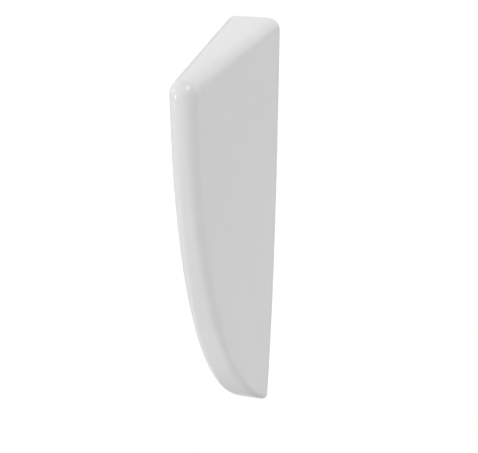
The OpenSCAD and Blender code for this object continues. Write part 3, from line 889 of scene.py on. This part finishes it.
def lock_screw_mesh(segments=48):
    """Hex socket below, thread, neck and ball. The socket's radius at an angle is half the
    key's width over the cosine of the angle from the middle of the nearest flat."""
    angle = full_turn(segments)
    hexagon = HALF_KEY / np.cos(np.mod(angle, np.pi / 3) - np.pi / 6)
    end_r = 3.1 * mm + 0 * angle        # on the flat end, inside the thread's root
    socket_r = np.stack([0 * angle, hexagon * 0.55, hexagon, hexagon, hexagon + BEVEL, end_r])
    socket_z = np.array([SOCKET_TIP, SOCKET_TIP - BEVEL, SOCKET_DEPTH, BEVEL, 0, 0]) + SCREW_Z0
    thread = thread_rows(SCREW_Z0, SCREW_Z1, LOCK_THREAD, 0.8 * mm, segments)
    b = np.linspace(np.arcsin(NECK_R / BALL_R), np.pi, 14)
    ball = np.c_[BALL_R * np.sin(b), BALL_Z - BALL_R * np.cos(b)]
    # a small fillet where the neck leaves the thread
    neck = [(NECK_R + 0.4 * mm, SCREW_Z1), (NECK_R + 0.1 * mm, SCREW_Z1 + 0.15 * mm),
            (NECK_R, SCREW_Z1 + 0.5 * mm)]
    return stacked("lock_screw_turned", [(socket_r, np.repeat(socket_z[:, None], segments, 1)), thread,
                                         round_rows(np.vstack([neck, ball]), segments)], segments)


add_piece("lock_screw_turned", lock_screw_mesh(), stainless, body="lock_screw",
          replaces=("lock_screw",), smooth=35)

# %% Turn the swivel foot
def lock_foot_mesh():
    """A disc on a short neck, with fine rings in its top face and a socket for the ball. A
    ring's depth is a cosine of the distance from the rounded edge."""
    bottom, disc_z, top = 85.2 * mm, 87 * mm, 91.9 * mm
    disc_r, neck_r, socket_r, mouth_r, edge = 8 * mm, 5 * mm, 2.9 * mm, 2.4 * mm, 0.6 * mm
    b = np.linspace(0, np.pi - np.arcsin(mouth_r / socket_r), 14)
    socket = np.c_[socket_r * np.sin(b), BALL_Z + socket_r * np.cos(b)]
    # the first two corners only give the next one its direction, and their points are left out
    outside = softened([(0, BALL_Z), (mouth_r, 86.4 * mm), (mouth_r, bottom), (neck_r, bottom),
                        (neck_r, disc_z), (disc_r, disc_z), (disc_r, top)],
                       np.array([0, 0, 0.3, 0.5, 0.6, 0.6, 0.6]) * mm)[10:]
    ring_r = np.linspace(disc_r - edge, 1.5 * mm, 60)
    ring_width, ring_depth = 1.18 * mm, 0.24 * mm
    from_edge = disc_r - edge - ring_r
    rings = np.c_[ring_r, top - ring_depth / 2 * (1 - np.cos(2 * np.pi * from_edge / ring_width))]
    return turned("lock_foot_turned", np.vstack([socket, outside, rings, [(0, top)]]))


add_piece("lock_foot_turned", lock_foot_mesh(), acetal, body="lock_foot",
          replaces=("lock_foot",), smooth=35)

# %% Mould the bush and its washer
BUSH_R, FLANGE_R, BUSH_Z0, FLANGE_Z, FLANGE_TOP = 7 * mm, 11 * mm, 39 * mm, 58.5 * mm, 61.5 * mm
BUSH_CHAMFER, WASHER_R = 0.9 * mm, 12 * mm


def bush_mesh(segments=64):
    """A flanged tube with the lock's thread inside and the nut's thread outside."""
    bore = thread_rows(BUSH_Z0, FLANGE_TOP, LOCK_THREAD, BUSH_CHAMFER, segments, outward=0.10 * mm)
    shank_z, inside_r = 50 * mm, 5 * mm     # the outer thread ends 1 mm below the plain shank
    # the first corner only gives the next one its direction
    flange = softened([(inside_r, shank_z), (inside_r, FLANGE_TOP), (FLANGE_R, FLANGE_TOP),
                       (FLANGE_R, FLANGE_Z), (BUSH_R, FLANGE_Z), (BUSH_R, shank_z)],
                      np.array([0, 0, 0.8, 0.4, 0.3, 0]) * mm)[5:]
    outside = thread_rows(BUSH_Z0, shank_z - 1 * mm, NUT_THREAD, BUSH_CHAMFER, segments)
    return stacked("lock_bush_moulded", [bore, round_rows(flange, segments),
                                         tuple(grid[::-1] for grid in outside)], segments, ring=True)


washer_profile = softened([(BUSH_HOLE_R, FLOOR_H), (WASHER_R, FLOOR_H), (WASHER_R, FLANGE_Z),
                           (BUSH_HOLE_R, FLANGE_Z)], np.array([0.3, 0.7, 0.7, 0.3]) * mm)
add_piece("lock_bush_moulded", bush_mesh(), nylon,
          replaces=("lock_bush",), smooth=35)
add_piece("bush_washer_moulded", turned("bush_washer_moulded", washer_profile, ring=True), rubber,
          replaces=("bush_washer",), smooth=50)

# %% Mould the nut
NUT_Z0, NUT_Z1, NUT_R, NUT_FACE_R = 41 * mm, 45 * mm, 10 * mm, 8 * mm
RIBS, RIB_DEPTH = 24, 0.3 * mm


def nut_mesh(segments=96):
    """A ring with the nut's thread inside, a ribbed edge, and two notches for a key. The
    ribs are a cosine of the angle in the outer radius."""
    bore = thread_rows(NUT_Z0, NUT_Z1, NUT_THREAD, BUSH_CHAMFER, segments, outward=0.05 * mm)
    profile = softened([(NUT_FACE_R, NUT_Z1), (NUT_R, NUT_Z1), (NUT_R, NUT_Z0), (NUT_FACE_R, NUT_Z0)],
                       np.array([0, 0.5, 0.5, 0]) * mm)
    radius, height = round_rows(profile, segments)
    near_edge = np.clip((radius - (NUT_R - 1 * mm)) / mm, 0, 1)
    radius = radius - RIB_DEPTH / 2 * (1 - np.cos(RIBS * full_turn(segments))) * near_edge
    ring = stacked("bush_nut_moulded", [bore, (radius, height)], segments, ring=True)
    notch = softened([(-1.5, -1.5), (1.5, -1.5), (1.5, 2.0), (-1.5, 2.0)], 0.3) * mm
    cutters = [carried_mesh(f"nut_notch_{side}", notch, 6 * mm, 0.1 * mm,
                            lambda y, z, x, side=side: upright(x + side * NUT_R, y, z + NUT_Z0))
               for side in (-1, 1)]
    return shaped(ring, cut=cutters)


add_piece("bush_nut_moulded", nut_mesh(), nylon,
          replaces=("bush_nut",), smooth=35)

# %% [markdown]
# ## The cap and its ring
# A moulded cup closes the hole in the underside. Its face is slanted so that it lies flush
# with the china round it, a rubber ring in a groove holds it by friction, and a small nick
# in its lower edge takes a fingernail. The slant is made by adding the underside's slope to
# the height of the rows that form the face.

# %% Mould the cap
CAP_R, CAP_TOP, CAP_WALL, CAP_INSET = 10.7 * mm, 38 * mm, 2 * mm, 0.5 * mm
FACE_ROUND, RIM_ROUND, DISH, GROOVE_R = 0.8 * mm, 0.5 * mm, 0.4 * mm, 0.6 * mm
RING_Z, RING_R, RING_SUNK = 34 * mm, 0.5 * mm, 0.3 * mm
NICK_DEPTH, NICK_H, NICK_ANGLE = 0.9 * mm, 0.7 * mm, 0.16


def cap_mesh(segments=96):
    """Rows from the middle of the face, round its edge, up the wall with its groove, over
    the rim and down the inside. share is 1 on rows that follow the slant and 0 at the rim.
    The nick fades with the angle t from its middle as exp(-(t / NICK_ANGLE)^2)."""
    near, far = underside_z(LOCK_Y - CAP_HOLE_R), underside_z(LOCK_Y + CAP_HOLE_R)
    slope = (far - near) / (2 * CAP_HOLE_R)
    middle = (near + far) / 2 + CAP_INSET * math.sqrt(1 + slope ** 2)
    inner_r, up_wall = CAP_R - CAP_WALL, CAP_WALL * math.sqrt(1 + slope ** 2)
    out, a, groove = np.linspace(0, 1, 8), np.linspace(0, np.pi / 2, 6), np.linspace(0, np.pi, 9)
    from_1, from_0 = 1 - np.sin(a), 1 - np.cos(a)     # one falls from 1 to 0, one rises from 0 to 1
    parts = [   # radius, height above the slanted face or above the foot, share of the slant
        np.c_[out * (CAP_R - FACE_ROUND), DISH * (1 - out ** 2), np.ones(8)],
        np.c_[CAP_R - FACE_ROUND * from_1, FACE_ROUND * from_0, np.ones(6)],
        np.c_[CAP_R - GROOVE_R * np.sin(groove), RING_Z - GROOVE_R * np.cos(groove), np.zeros(9)],
        np.c_[CAP_R - RIM_ROUND * from_0, CAP_TOP - RIM_ROUND * from_1, np.zeros(6)],
        np.c_[inner_r + RIM_ROUND * from_1, CAP_TOP - RIM_ROUND * from_0, np.zeros(6)],
        np.c_[inner_r - FACE_ROUND * from_0, up_wall + FACE_ROUND * from_1, np.ones(6)],
        np.array([[0.5 * inner_r, up_wall, 1], [0, up_wall, 1]])]
    face_rows = len(parts[0]) + len(parts[1])
    radius, height, share = round_rows(np.vstack(parts), segments)
    row, angle = np.arange(len(radius))[:, None], full_turn(segments)[None]
    # the nick is at the edge nearest the wall, which is the lowest place
    nick = np.exp(-((angle - np.pi / 2) / NICK_ANGLE) ** 2)
    nick = nick * (row < face_rows) * np.clip((radius - 8 * mm) / (2 * mm), 0, 1)
    radius = radius - NICK_DEPTH * nick * (row < face_rows - 1)
    x, y = radius * np.cos(angle), radius * np.sin(angle)
    height = height + share * (middle - slope * y) + NICK_H * nick
    return closed_mesh("cover_cap_moulded", upright(x, y, height), grid_quads(len(radius), segments))


ring_turn = full_turn(20)
ring_profile = np.c_[CAP_R - RING_SUNK + RING_R * np.cos(ring_turn), RING_Z + RING_R * np.sin(ring_turn)]
add_piece("cover_cap_moulded", cap_mesh(), gloss_white, body="cover_cap",
          replaces=("cover_cap",), smooth=35)
add_piece("cap_ring_moulded", turned("cap_ring_moulded", ring_profile, 96, ring=True), rubber,
          body="cover_cap", replaces=("cap_ring",), smooth=60)
